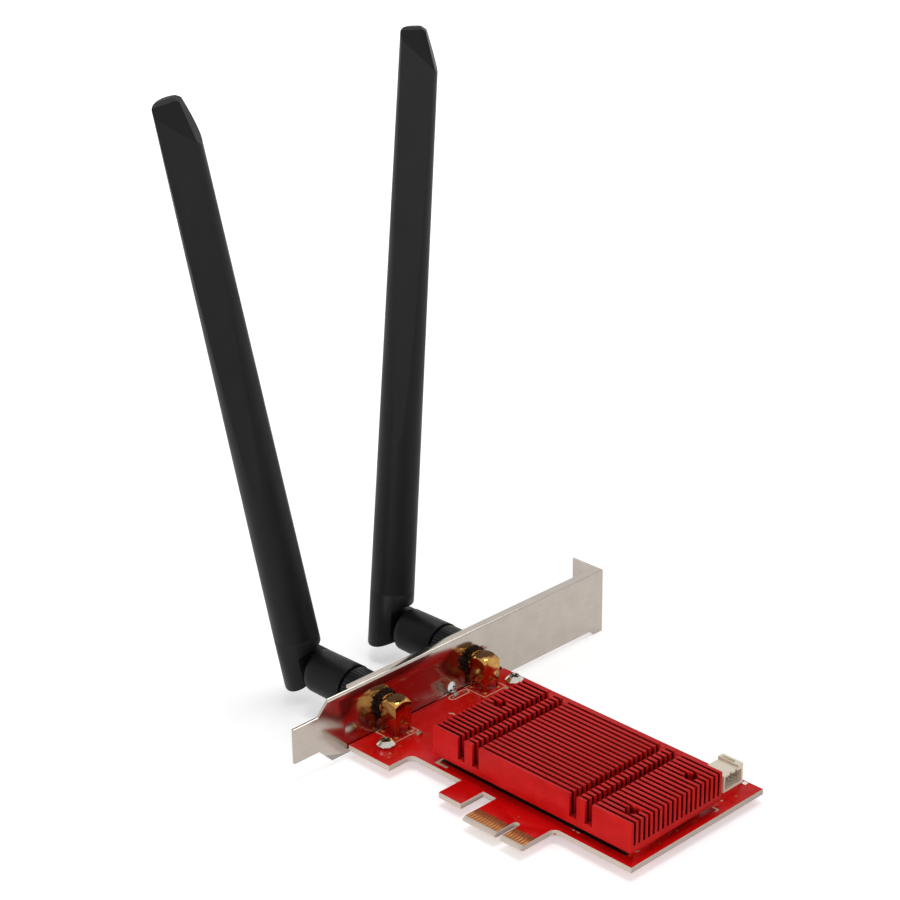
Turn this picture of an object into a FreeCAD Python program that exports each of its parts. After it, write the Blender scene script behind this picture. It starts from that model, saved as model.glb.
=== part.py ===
import FreeCAD, Part
import math
import operator
import os
from types import SimpleNamespace

import Sketcher

# A desktop wireless network card: a red one-lane expansion board with a finned heatsink, a full-height
# bracket, two threaded aerial jacks and two tilting blade aerials.
# Origin: middle of the keying slot, on the contact edge, half-way through the board.
# +X runs along the board away from the bracket, +Y from the contacts to the bracket's bent tab,
# +Z out of the component side.

SIZES = {
    # circuit board
    "board_thick": 1.6,
    "board_length": 92.85,
    "board_width": 51.2,
    "key_to_edge": 59.05,
    "tongue_depth": 12.2,
    "foot_drop": 8.2,
    "foot_width": 15.65,
    "hook_reach": 24.85,
    "hook_width": 8.05,
    "corner_round": 2.0,
    "contact_long": 11.2,
    "contact_short": 7.2,
    "key_width": 1.9,
    "key_depth": 7.7,
    "bevel_run": 1.0,
    "bevel_depth": 0.45,
    "pad_pitch": 1.0,
    "pad_width": 0.7,
    "pad_length": 4.5,
    "pad_thick": 0.05,
    # bracket
    "bracket_gap": 0.3,
    "sheet_thick": 0.86,
    "bracket_length": 120.02,
    "bracket_width": 18.42,
    "bracket_below": 14.64,
    "tongue_width": 10.19,
    "tongue_length": 8.6,
    "tongue_rise": 4.35,
    "tab_length": 11.43,
    "tab_notch": 4.42,
    "tab_notch_depth": 5.5,
    "tab_notch_centre": 6.2,
    "ear_drop": 1.5,
    "ear_length": 4.0,
    "lip_depth": 2.8,
    "bend_round": 0.6,
    "lip_start": 21.2,
    "lip_end_gap": 4.5,
    "foot_reach": 11.5,
    "foot_span": 8.4,
    "light_radius": 1.5,
    "light_along": 43.0,
    "light_height": 2.0,
    # bracket screws
    "screw_radius": 1.5,
    "screw_head_radius": 2.6,
    "screw_head": 1.9,
    "screw_crown": 1.1,
    "screw_recess_long": 3.0,
    "screw_recess_wide": 0.7,
    "screw_recess_depth": 1.0,
    "screw_from_edge": 7.5,
    "screw_low": 10.7,
    "screw_spacing": 49.1,
    # heatsink and what holds it
    "sink_length": 69.0,
    "sink_width": 34.6,
    "sink_height": 8.4,
    "sink_base": 1.9,
    "sink_end_gap": 1.7,
    "sink_low_gap": 1.7,
    "sink_gap": 2.4,
    "fin_count": 20,
    "fin_thick": 0.95,
    "slot_width": 2.45,
    "slot_pitch": 5.2,
    "slot_pair_left": 10.4,
    "slot_pair_right": 14.1,
    "sink_hole_radius": 1.9,
    "sink_screw_radius": 1.0,
    "sink_screw_head": 1.9,
    "sink_screw_head_high": 1.3,
    "spacer_radius": 2.2,
    "sink_hole_inset": 4.4,
    "sink_hole_low": 5.3,
    "sink_hole_high": 27.5,
    "sink_hole_middle": 20.4,
    # radio module under the heatsink
    "module_long": 30.0,
    "module_wide": 22.0,
    "module_thick": 0.8,
    "shield_inset": 1.2,
    "shield_high": 1.1,
    "thermal_pad_inset": 3.0,
    # small parts on the board
    "chip_long": 1.6,
    "chip_wide": 0.8,
    "chip_high": 0.7,
    "lamp_long": 1.6,
    "lamp_wide": 1.0,
    "lamp_high": 0.5,
    "lamp_lens": 0.35,
    # internal lead socket
    "header_wide": 7.8,
    "header_deep": 6.8,
    "header_high": 5.0,
    "header_wall": 0.7,
    "header_cavity": 5.2,
    "header_end_gap": 5.9,
    "header_side_gap": 1.1,
    "header_crest": 0.9,
    "header_crest_deep": 2.2,
    "header_notch": 0.8,
    "pin_pitch": 1.5,
    "pin_size": 0.5,
    "pin_count": 4,
    "pin_tail": 0.9,
    # aerial jacks
    "jack_first": 5.88,
    "jack_spacing": 33.85,
    "jack_height": 6.95,
    "block_size": 5.8,
    "block_high": 3.05,
    "block_deep": 4.3,
    "block_crown_radius": 2.65,
    "block_crown_drop": 1.15,
    "leg_size": 0.7,
    "leg_pitch": 5.08,
    "leg_tail": 1.0,
    "washer_thick": 1.1,
    "washer_radius": 4.2,
    "washer_teeth": 14,
    "washer_tooth": 0.6,
    "barrel_radius": 3.175,
    "barrel_reach": 10.0,
    "barrel_bore": 2.05,
    "barrel_fill": 5.0,
    "thread_play": 0.08,
    "jack_nut_across": 8.0,
    "jack_nut_thick": 2.2,
    "jack_pin_radius": 0.46,
    "jack_pin_reach": 9.0,
    # aerials
    "blade_out": 33.65,
    "blade_radius": 6.3,
    "blade_tip": 170.3,
    "tip_radius": 5.17,
    "blade_flat": 2.5,
    "blade_flat_start": 45.0,
    "blade_turn": 40.0,
    "lean_left": 11.73,
    "lean_right": -5.14,
    "tip_drop": 2.93,
    "tip_slope": 1.54,
    "tip_turn": -58.8,
    "shoulder_rise": 2.4,
    "shoulder_slope": 2.65,
    "seam_high": 10.2,
    "sleeve_wall": 1.3,
    "spigot_long": 8.0,
    "cavity_step": 0.4,
    "cavity_short": 14.0,
    "cavity_half_wide": 3.9,
    "cavity_half_thick": 1.6,
    "radiator_wide": 6.4,
    "radiator_thick": 0.8,
    "radiator_long": 118.0,
    "radiator_seat": 2.0,
    "elbow_small": 6.2,
    "elbow_large": 6.4,
    "elbow_rim": 7.7,
    "elbow_end": 21.2,
    "hinge_pin_radius": 1.1,
    "hinge_play": 0.06,
    "lap_gap": 0.15,
    "pin_depth": 4.4,
    "lug_round": 6.0,
    "lug_angle": 135.0,
    "floor_gap": 0.5,
    "finger_root": 0.3,
    "finger_reach": 6.7,
    "finger_round": 12.2,
    "finger_shift": 2.5,
    "finger_start": 250.0,
    "finger_end": 305.0,
    "finger_flare": 1.3,
    "finger_corner": 0.8,
    "nut_start": 21.6,
    "nut_long": 7.95,
    "nut_radius": 6.2,
    "nut_bevel": 0.5,
    "nut_shoulder": 2.6,
    "knurl_count": 40,
    "knurl_depth": 0.3,
    "plug_radius": 2.5,
    "plug_depth": 5.0,
    "plug_flange": 3.0,
    "plug_flange_thick": 1.0,
    "plug_play": 0.1,
    "plug_nose": 4.8,
    "plug_bore": 1.6,
    "socket_radius": 0.8,
    "socket_long": 13.0,
}

OPERATORS = {"+": operator.add, "-": operator.sub, "*": operator.mul, "/": operator.truediv}


class Size:
    """A number that also knows the formula in the sheet's cells that gives it."""

    def __init__(self, number, formula):
        self.number = number
        self.formula = formula

    def __add__(self, other):
        return joined(self, "+", other)

    def __radd__(self, other):
        return joined(other, "+", self)

    def __sub__(self, other):
        return joined(self, "-", other)

    def __rsub__(self, other):
        return joined(other, "-", self)

    def __mul__(self, other):
        return joined(self, "*", other)

    def __rmul__(self, other):
        return joined(other, "*", self)

    def __truediv__(self, other):
        return joined(self, "/", other)

    def __neg__(self):
        return joined(0, "-", self)


def as_size(value):
    return value if isinstance(value, Size) else Size(float(value), str(float(value)))


def joined(first, sign, second):
    a, b = as_size(first), as_size(second)
    return Size(OPERATORS[sign](a.number, b.number), f"({a.formula} {sign} {b.formula})")


def trig(name, angle):
    function = {"sin": math.sin, "cos": math.cos, "tan": math.tan}[name]
    return Size(function(math.radians(angle.number)), f"{name}({angle.formula} * 1deg)")


doc = FreeCAD.newDocument("wireless_card")
sheet = doc.addObject("Spreadsheet::Sheet", "sizes")
for row, (alias, value) in enumerate(SIZES.items(), start=1):
    sheet.set(f"A{row}", alias)
    sheet.set(f"B{row}", str(value))
    sheet.setAlias(f"B{row}", alias)
doc.recompute()
s = SimpleNamespace(**{alias: Size(value, f"sizes.{alias}") for alias, value in SIZES.items()})

# Places that several pieces share
BOARD_TOP = s.board_thick / 2
BOARD_UNDER = -s.board_thick / 2
BOARD_EDGE = -s.key_to_edge
BOARD_END = BOARD_EDGE + s.board_length
BOARD_LOW = s.tongue_depth
BOARD_HIGH = BOARD_LOW + s.board_width
BRACKET_IN = BOARD_EDGE - s.bracket_gap
BRACKET_OUT = BRACKET_IN - s.sheet_thick
BRACKET_FOOT = BOARD_UNDER - s.sheet_thick
BRACKET_CROWN = BRACKET_FOOT + s.bracket_width
BRACKET_TIP = -s.bracket_below
BRACKET_END = BRACKET_TIP + s.bracket_length
SCREW_X = BOARD_EDGE + s.screw_from_edge
SCREW_LOW = s.screw_low
SCREW_HIGH = SCREW_LOW + s.screw_spacing
SINK_END = BOARD_END - s.sink_end_gap
SINK_START = SINK_END - s.sink_length
SINK_LOW = BOARD_LOW + s.sink_low_gap
SINK_UNDER = BOARD_TOP + s.sink_gap
SINK_TOP = SINK_UNDER + s.sink_height
SINK_HOLES = (
    (SINK_START + s.sink_hole_inset, SINK_LOW + s.sink_hole_middle),
    (SINK_END - s.sink_hole_inset, SINK_LOW + s.sink_hole_low),
    (SINK_END - s.sink_hole_inset, SINK_LOW + s.sink_hole_high),
)
JACK_X = BRACKET_IN + s.washer_thick + s.block_size / 2
JACK_LOW = BOARD_LOW + s.jack_first
JACK_HIGH = JACK_LOW + s.jack_spacing
JACK_Z = BOARD_TOP + s.jack_height
LEG_END = BRACKET_FOOT - s.leg_tail
HEADER_FRONT = BOARD_END - s.header_end_gap
HEADER_HIGH = BOARD_HIGH - s.header_side_gap
HEADER_LOW = HEADER_HIGH - s.header_wide
BLADE_X = BRACKET_IN - s.blade_out
LIGHT_Z = BOARD_TOP + s.light_height


def bind(thing, prop, value):
    """Give a property its number and, where it comes from the sheet, its formula."""
    if isinstance(value, Size):
        thing.setExpression(prop, value.formula)
    else:
        setattr(thing, prop, value)


def origin_feature(body, role):
    return next(feature for feature in body.Origin.OriginFeatures if feature.Role == role)


def new_body(label):
    body = doc.addObject("PartDesign::Body", label)
    body.Label = label
    body.AllowCompound = True
    return body


def new_sketch(body, plane, lift=0, turn=None):
    """An empty sketch on one of the body's origin planes, lifted along the plane's normal."""
    sketch = body.newObject("Sketcher::SketchObject", body.Label + "_sketch")
    sketch.AttachmentSupport = [(origin_feature(body, plane + "_Plane"), "")]
    sketch.MapMode = "FlatFace"
    if turn is not None:
        spin = FreeCAD.Rotation(FreeCAD.Vector(0, 1, 0), turn.number)
        sketch.AttachmentOffset = FreeCAD.Placement(FreeCAD.Vector(), spin)
    bind_offset(sketch, lift)
    return sketch


def bind_offset(sketch, lift):
    lift = as_size(lift)
    sketch.AttachmentOffset = FreeCAD.Placement(
        FreeCAD.Vector(0, 0, lift.number), sketch.AttachmentOffset.Rotation)
    sketch.setExpression("AttachmentOffset.Base.z", lift.formula)


def pin_point(sketch, geometry, point, x, y):
    """Hold one point of a sketch at a place given by the sheet."""
    for kind, value in (("DistanceX", as_size(x)), ("DistanceY", as_size(y))):
        rule = sketch.addConstraint(Sketcher.Constraint(kind, -1, 1, geometry, point, value.number))
        sketch.setExpression(f"Constraints[{rule}]", value.formula)


def flat_point(x, y):
    return FreeCAD.Vector(as_size(x).number, as_size(y).number, 0)


def polygon(sketch, points):
    first = sketch.GeometryCount
    count = len(points)
    for i in range(count):
        ends = flat_point(*points[i]), flat_point(*points[(i + 1) % count])
        sketch.addGeometry(Part.LineSegment(*ends))
    for i in range(count):
        follower = first + (i + 1) % count
        sketch.addConstraint(Sketcher.Constraint("Coincident", first + i, 2, follower, 1))
    for i, (x, y) in enumerate(points):
        pin_point(sketch, first + i, 1, x, y)


def rectangle(sketch, left, low, right, high):
    polygon(sketch, [(left, low), (right, low), (right, high), (left, high)])


def circle(sketch, x, y, radius):
    radius = as_size(radius)
    up = FreeCAD.Vector(0, 0, 1)
    ring = sketch.addGeometry(Part.Circle(flat_point(x, y), up, radius.number))
    pin_point(sketch, ring, 3, x, y)
    rule = sketch.addConstraint(Sketcher.Constraint("Radius", ring, radius.number))
    sketch.setExpression(f"Constraints[{rule}]", radius.formula)


def ellipse(sketch, half_wide, half_thick):
    """An ellipse about the sketch's origin, its long axis level."""
    half_wide, half_thick = as_size(half_wide), as_size(half_thick)
    form = sketch.addGeometry(Part.Ellipse(FreeCAD.Vector(), half_wide.number, half_thick.number))
    sketch.exposeInternalGeometry(form)
    sketch.addConstraint(Sketcher.Constraint("Coincident", form, 3, -1, 1))
    sketch.addConstraint(Sketcher.Constraint("Horizontal", form + 1))
    for axis, half in ((form + 1, half_wide), (form + 2, half_thick)):
        rule = sketch.addConstraint(Sketcher.Constraint("Distance", axis, 2 * half.number))
        sketch.setExpression(f"Constraints[{rule}]", (2 * half).formula)


def rounded_end(sketch, centre, radius, start_angle, end_angle, corners):
    """A closed outline: an arc about centre, then straight runs through the corners back to it."""
    radius, start_angle, end_angle = as_size(radius), as_size(start_angle), as_size(end_angle)
    up = FreeCAD.Vector(0, 0, 1)
    whole = Part.Circle(flat_point(*centre), up, radius.number)
    angles = math.radians(start_angle.number), math.radians(end_angle.number)
    arc = sketch.addGeometry(Part.ArcOfCircle(whole, *angles))
    pin_point(sketch, arc, 3, *centre)
    ends = []
    for angle in (start_angle, end_angle):
        x = centre[0] + radius * trig("cos", angle)
        y = centre[1] + radius * trig("sin", angle)
        ends.append((x, y))
    pin_point(sketch, arc, 1, *ends[0])
    steep = abs(math.cos(angles[1])) > abs(math.sin(angles[1]))
    kind, end_value = ("DistanceY", ends[1][1]) if steep else ("DistanceX", ends[1][0])
    rule = sketch.addConstraint(Sketcher.Constraint(kind, -1, 1, arc, 2, end_value.number))
    sketch.setExpression(f"Constraints[{rule}]", end_value.formula)
    path = [ends[1], *corners, ends[0]]
    first = sketch.GeometryCount
    for a, b in zip(path, path[1:]):
        sketch.addGeometry(Part.LineSegment(flat_point(*a), flat_point(*b)))
    last = first + len(path) - 2
    sketch.addConstraint(Sketcher.Constraint("Coincident", arc, 2, first, 1))
    sketch.addConstraint(Sketcher.Constraint("Coincident", last, 2, arc, 1))
    for i, corner in enumerate(corners):
        sketch.addConstraint(Sketcher.Constraint("Coincident", first + i, 2, first + i + 1, 1))
        pin_point(sketch, first + i, 2, *corner)


def add_feature(body, kind, sketch):
    feature = body.newObject("PartDesign::" + kind, f"{body.Label}_{kind.lower()}")
    feature.Profile = sketch
    return feature


def pad(body, sketch, length, reverse=False):
    feature = add_feature(body, "Pad", sketch)
    bind(feature, "Length", length)
    feature.Reversed = reverse
    return feature


def pocket(body, sketch, length, reverse=False):
    feature = add_feature(body, "Pocket", sketch)
    bind(feature, "Length", length)
    feature.Reversed = reverse
    return feature


def cut_through(body, sketch):
    feature = add_feature(body, "Pocket", sketch)
    feature.SideType = "Symmetric"
    feature.Type = "ThroughAll"
    return feature


def turned(body, sketch, kind, axis):
    feature = add_feature(body, kind, sketch)
    feature.ReferenceAxis = (sketch, [axis])
    feature.Angle = 360
    return feature


def ring_of(body, feature, axis, count):
    pattern = body.newObject("PartDesign::PolarPattern", body.Label + "_ring")
    pattern.Originals = [feature]
    pattern.Axis = (origin_feature(body, axis + "_Axis"), [""])
    pattern.Angle = 360
    pattern.setExpression("Occurrences", count.formula)
    body.Tip = pattern


def row_of(body, feature, axis, length, count):
    pattern = body.newObject("PartDesign::LinearPattern", body.Label + "_row")
    pattern.Originals = [feature]
    pattern.Direction = (origin_feature(body, axis + "_Axis"), [""])
    pattern.setExpression("Length", length.formula)
    bind(pattern, "Occurrences", count)
    body.Tip = pattern


def round_edges(body, radius, along, places):
    """Round the straight edges that run along one axis at the given places on the other two."""
    doc.recompute()
    others = [i for i in range(3) if i != "XYZ".index(along)]
    wanted = [(as_size(a).number, as_size(b).number) for a, b in places]
    names = []
    base = body.Tip
    for number, edge in enumerate(base.Shape.Edges, start=1):
        ends = [vertex.Point for vertex in edge.Vertexes]
        for place in wanted:
            near = all(abs(end[i] - at) < 1e-4 for end in ends for i, at in zip(others, place))
            if near and len(ends) == 2:
                names.append(f"Edge{number}")
    feature = body.newObject("PartDesign::Fillet", body.Label + "_fillet")
    feature.Base = (base, names)
    bind(feature, "Radius", radius)


def place(body, x, y, z, lean=None):
    body.Placement = FreeCAD.Placement(
        FreeCAD.Vector(*(as_size(value).number for value in (x, y, z))),
        FreeCAD.Rotation(FreeCAD.Vector(1, 0, 0), lean.number if lean else 0))


def slab(label, left, low, right, high, under, thick):
    """A plain rectangular plate."""
    body = new_body(label)
    sketch = new_sketch(body, "XY", under)
    rectangle(sketch, left, low, right, high)
    pad(body, sketch, thick)
    return body


def circuit_board():
    body = new_body("circuit_board")
    foot_low = BOARD_LOW - s.foot_drop
    hook_left = -s.hook_reach
    hook_right = hook_left + s.hook_width
    long_left = -s.key_width / 2 - s.contact_long
    short_right = s.key_width / 2 + s.contact_short
    foot_right = BOARD_EDGE + s.foot_width
    outline = new_sketch(body, "XY", BOARD_UNDER)
    polygon(outline, [
        (BOARD_EDGE, foot_low), (foot_right, foot_low), (foot_right, BOARD_LOW),
        (hook_left, BOARD_LOW), (hook_left, foot_low), (hook_right, foot_low), (hook_right, BOARD_LOW),
        (long_left, BOARD_LOW), (long_left, 0), (short_right, 0), (short_right, BOARD_LOW),
        (BOARD_END, BOARD_LOW), (BOARD_END, BOARD_HIGH), (BOARD_EDGE, BOARD_HIGH)])
    pad(body, outline, s.board_thick)
    inner = [(foot_right, BOARD_LOW), (short_right, BOARD_LOW)]
    round_edges(body, s.corner_round, "Z", inner)
    bevel = new_sketch(body, "YZ")
    for side in (1, -1):
        polygon(bevel, [(0, side * BOARD_TOP), (s.bevel_run, side * BOARD_TOP),
                        (0, side * (BOARD_TOP - s.bevel_depth))])
    cut_through(body, bevel)
    key = new_sketch(body, "XY")
    rounding = s.key_width / 2
    rounded_end(key, (Size(0, "0"), s.key_depth - rounding), rounding, 0, 180,
                [(-rounding, 0), (rounding, 0)])
    cut_through(body, key)
    holes = new_sketch(body, "XY")
    for y in (SCREW_LOW, SCREW_HIGH):
        circle(holes, SCREW_X, y, s.screw_radius + s.thread_play)
    for y in (JACK_LOW, JACK_HIGH):
        for dx, dy in [(0, 0), *jack_legs()]:
            circle(holes, JACK_X + dx, y + dy, s.leg_size * LEG_DIAGONAL + s.thread_play)
    for x, y in SINK_HOLES:
        circle(holes, x, y, s.sink_screw_radius + s.thread_play)
    for x, y in header_pins():
        circle(holes, x, y, s.pin_size * LEG_DIAGONAL + s.thread_play)
    cut_through(body, holes)


LEG_DIAGONAL = math.sqrt(2) / 2


def jack_legs():
    half = s.leg_pitch / 2
    return [(sx * half, sy * half) for sx in (1, -1) for sy in (1, -1)]


def header_pins():
    middle = (HEADER_LOW + HEADER_HIGH) / 2
    x = HEADER_FRONT - s.header_deep + s.header_wall + s.pin_size
    offsets = [k - (SIZES["pin_count"] - 1) / 2 for k in range(SIZES["pin_count"])]
    return [(x, middle + offset * s.pin_pitch) for offset in offsets]


def edge_contacts(label, under):
    """Gold contact strips on one face of the tongue, eleven before the key and seven after it."""
    body = new_body(label)
    sketch = new_sketch(body, "XY", under)
    margin = (s.contact_long - 10 * s.pad_pitch - s.pad_width) / 2
    before = -s.key_width / 2 - s.contact_long + margin
    after = s.key_width / 2 + margin
    for start, count in ((before, 11), (after, 7)):
        for k in range(count):
            left = start + k * s.pad_pitch
            rectangle(sketch, left, s.bevel_run, left + s.pad_width, s.bevel_run + s.pad_length)
    pad(body, sketch, s.pad_thick)


def bracket():
    """One folded sheet: plate, bent screw tab, stiffening lip and two mounting feet."""
    body = new_body("bracket")
    neck = BRACKET_TIP + s.tongue_length
    tongue_low = BRACKET_FOOT + s.tongue_rise
    tongue_high = tongue_low + s.tongue_width
    ear_start = BRACKET_END - s.ear_length
    plate = new_sketch(body, "YZ", BRACKET_OUT)
    polygon(plate, [
        (BRACKET_TIP, tongue_low), (neck, tongue_low), (neck + s.tongue_rise, BRACKET_FOOT),
        (ear_start - s.ear_drop, BRACKET_FOOT), (ear_start, BRACKET_FOOT - s.ear_drop),
        (BRACKET_END, BRACKET_FOOT - s.ear_drop), (BRACKET_END, BRACKET_CROWN),
        (neck + BRACKET_CROWN - tongue_high, BRACKET_CROWN), (neck, tongue_high),
        (BRACKET_TIP, tongue_high)])
    pad(body, plate, s.sheet_thick)
    tab = new_sketch(body, "YZ", BRACKET_OUT)
    rectangle(tab, BRACKET_END - s.sheet_thick, BRACKET_FOOT - s.ear_drop, BRACKET_END, BRACKET_CROWN)
    pad(body, tab, s.tab_length - s.sheet_thick, reverse=True)
    lip = new_sketch(body, "YZ", BRACKET_OUT)
    rectangle(lip, BRACKET_TIP + s.lip_start, BRACKET_CROWN - s.sheet_thick,
              BRACKET_END - s.lip_end_gap, BRACKET_CROWN)
    pad(body, lip, s.lip_depth - s.sheet_thick, reverse=True)
    feet = new_sketch(body, "YZ", BRACKET_IN)
    for y in (SCREW_LOW, SCREW_HIGH):
        rectangle(feet, y - s.foot_span / 2, BRACKET_FOOT, y + s.foot_span / 2, BOARD_UNDER)
    pad(body, feet, s.foot_reach)
    round_edges(body, s.bend_round, "Z", [(BRACKET_IN, BRACKET_END)])
    round_edges(body, s.bend_round, "Y", [(BRACKET_IN, BRACKET_CROWN)])
    holes = new_sketch(body, "YZ", BRACKET_IN)
    for y in (JACK_LOW, JACK_HIGH):
        circle(holes, y, JACK_Z, s.barrel_radius + s.thread_play)
    circle(holes, s.light_along, LIGHT_Z, s.light_radius)
    pocket(body, holes, s.sheet_thick)
    screw_holes = new_sketch(body, "XY", BOARD_UNDER)
    for y in (SCREW_LOW, SCREW_HIGH):
        circle(screw_holes, SCREW_X, y, s.screw_radius)
    pocket(body, screw_holes, s.sheet_thick)
    notch = new_sketch(body, "XZ", -BRACKET_END)
    half = s.tab_notch / 2
    notch_x = BRACKET_IN - s.tab_notch_centre
    mouth = BRACKET_FOOT - s.ear_drop
    rounded_end(notch, (notch_x, mouth + s.tab_notch_depth - half), half, 0, 180,
                [(notch_x - half, mouth), (notch_x + half, mouth)])
    pocket(body, notch, s.sheet_thick, reverse=True)


def bracket_screws():
    body = new_body("bracket_screws")
    profile = new_sketch(body, "XZ")
    shank = -s.board_thick - s.sheet_thick
    rim = s.screw_head - s.screw_crown
    polygon(profile, [(0, shank), (s.screw_radius, shank), (s.screw_radius, 0), (s.screw_head_radius, 0),
                      (s.screw_head_radius, rim), (s.screw_radius, s.screw_head), (0, s.screw_head)])
    turned(body, profile, "Revolution", "V_Axis")
    recess = new_sketch(body, "XY", s.screw_head)
    long, wide = s.screw_recess_long / 2, s.screw_recess_wide / 2
    polygon(recess, [(wide, wide), (wide, long), (-wide, long), (-wide, wide), (-long, wide), (-long, -wide),
                     (-wide, -wide), (-wide, -long), (wide, -long), (wide, -wide), (long, -wide), (long, wide)])
    pocket(body, recess, s.screw_recess_depth)
    second = doc.addObject("Part::Feature", "bracket_screw_pair")
    doc.recompute()
    screw = body.Shape
    far = screw.translated(FreeCAD.Vector(0, s.screw_spacing.number, 0))
    second.Shape = Part.makeCompound([screw, far])
    second.Placement = FreeCAD.Placement(
        FreeCAD.Vector(SCREW_X.number, SCREW_LOW.number, BOARD_TOP.number), FreeCAD.Rotation())
    body.Label = "bracket_screw_form"
    second.Label = "bracket_screws"


def heatsink():
    """Extruded plate fins along X, crossed by two pairs of milled slots and drilled for its screws."""
    body = new_body("heatsink")
    base = new_sketch(body, "XY", SINK_UNDER)
    rectangle(base, SINK_START, SINK_LOW, SINK_END, SINK_LOW + s.sink_width)
    pad(body, base, s.sink_base)
    fin_sketch = new_sketch(body, "XY", SINK_UNDER + s.sink_base)
    rectangle(fin_sketch, SINK_START, SINK_LOW, SINK_END, SINK_LOW + s.fin_thick)
    fin = pad(body, fin_sketch, s.sink_height - s.sink_base)
    row_of(body, fin, "Y", s.sink_width - s.fin_thick, s.fin_count)
    slots = new_sketch(body, "XY", SINK_TOP)
    high = SINK_LOW + s.sink_width
    left = SINK_START + s.slot_pair_left
    right = SINK_END - s.slot_pair_right
    for start in (left - s.slot_width / 2, left + s.slot_pitch - s.slot_width / 2,
                  right - s.slot_width / 2, right - s.slot_pitch - s.slot_width / 2):
        rectangle(slots, start, SINK_LOW, start + s.slot_width, high)
    pocket(body, slots, s.sink_height - s.sink_base)
    wells = new_sketch(body, "XY", SINK_TOP)
    for x, y in SINK_HOLES:
        circle(wells, x, y, s.sink_hole_radius)
    pocket(body, wells, s.sink_height - s.sink_base)
    taps = new_sketch(body, "XY", SINK_TOP)
    for x, y in SINK_HOLES:
        circle(taps, x, y, s.sink_screw_radius)
    pocket(body, taps, s.sink_height)


def heatsink_fixings():
    spacers = new_body("heatsink_spacers")
    rings = new_sketch(spacers, "XY", BOARD_TOP)
    for x, y in SINK_HOLES:
        circle(rings, x, y, s.spacer_radius)
        circle(rings, x, y, s.sink_screw_radius + s.thread_play)
    pad(spacers, rings, s.sink_gap)
    screws = new_body("heatsink_screws")
    heads = new_sketch(screws, "XY", BOARD_UNDER - s.sink_screw_head_high)
    shanks = new_sketch(screws, "XY", BOARD_UNDER)
    for x, y in SINK_HOLES:
        circle(heads, x, y, s.sink_screw_head)
        circle(shanks, x, y, s.sink_screw_radius)
    pad(screws, heads, s.sink_screw_head_high)
    pad(screws, shanks, s.board_thick + s.sink_gap + s.sink_base)


def radio_module():
    middle_x = (SINK_START + SINK_END) / 2
    middle_y = SINK_LOW + s.sink_width / 2
    half_long, half_wide = s.module_long / 2, s.module_wide / 2

    def layer(label, inset, under, thick):
        slab(label, middle_x - half_long + inset, middle_y - half_wide + inset,
             middle_x + half_long - inset, middle_y + half_wide - inset, under, thick)

    shield_under = BOARD_TOP + s.module_thick
    pad_under = shield_under + s.shield_high
    layer("radio_module_board", Size(0, "0"), BOARD_TOP, s.module_thick)
    layer("radio_module_shield", s.shield_inset, shield_under, s.shield_high)
    layer("thermal_pad", s.thermal_pad_inset, pad_under, SINK_UNDER - pad_under)


def board_chips():
    """Small capacitors at the heatsink's open end and beside the jacks."""
    body = new_body("board_capacitors")
    sketch = new_sketch(body, "XY", BOARD_TOP)
    rear = SINK_END - s.sink_hole_inset
    spots = [(rear, SINK_LOW + s.sink_hole_low + k * 3 * s.chip_long) for k in (1, 2, 3)]
    for y in (JACK_LOW, JACK_HIGH):
        spots.append((JACK_X + s.block_size, y + s.block_size / 2))
    for x, y in spots:
        rectangle(sketch, x - s.chip_wide / 2, y - s.chip_long / 2, x + s.chip_wide / 2, y + s.chip_long / 2)
    pad(body, sketch, s.chip_high)


def status_lamp():
    body = new_body("status_lamp")
    base = new_sketch(body, "XY", BOARD_TOP)
    start = BOARD_EDGE + s.lamp_wide
    rectangle(base, start, s.light_along - s.lamp_long / 2, start + s.lamp_wide, s.light_along + s.lamp_long / 2)
    pad(body, base, s.lamp_high)
    lens = new_sketch(body, "XY", BOARD_TOP + s.lamp_high)
    margin = s.lamp_long / 4
    rectangle(lens, start, s.light_along - margin, start + s.lamp_wide, s.light_along + margin)
    pad(body, lens, s.lamp_lens)


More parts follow.
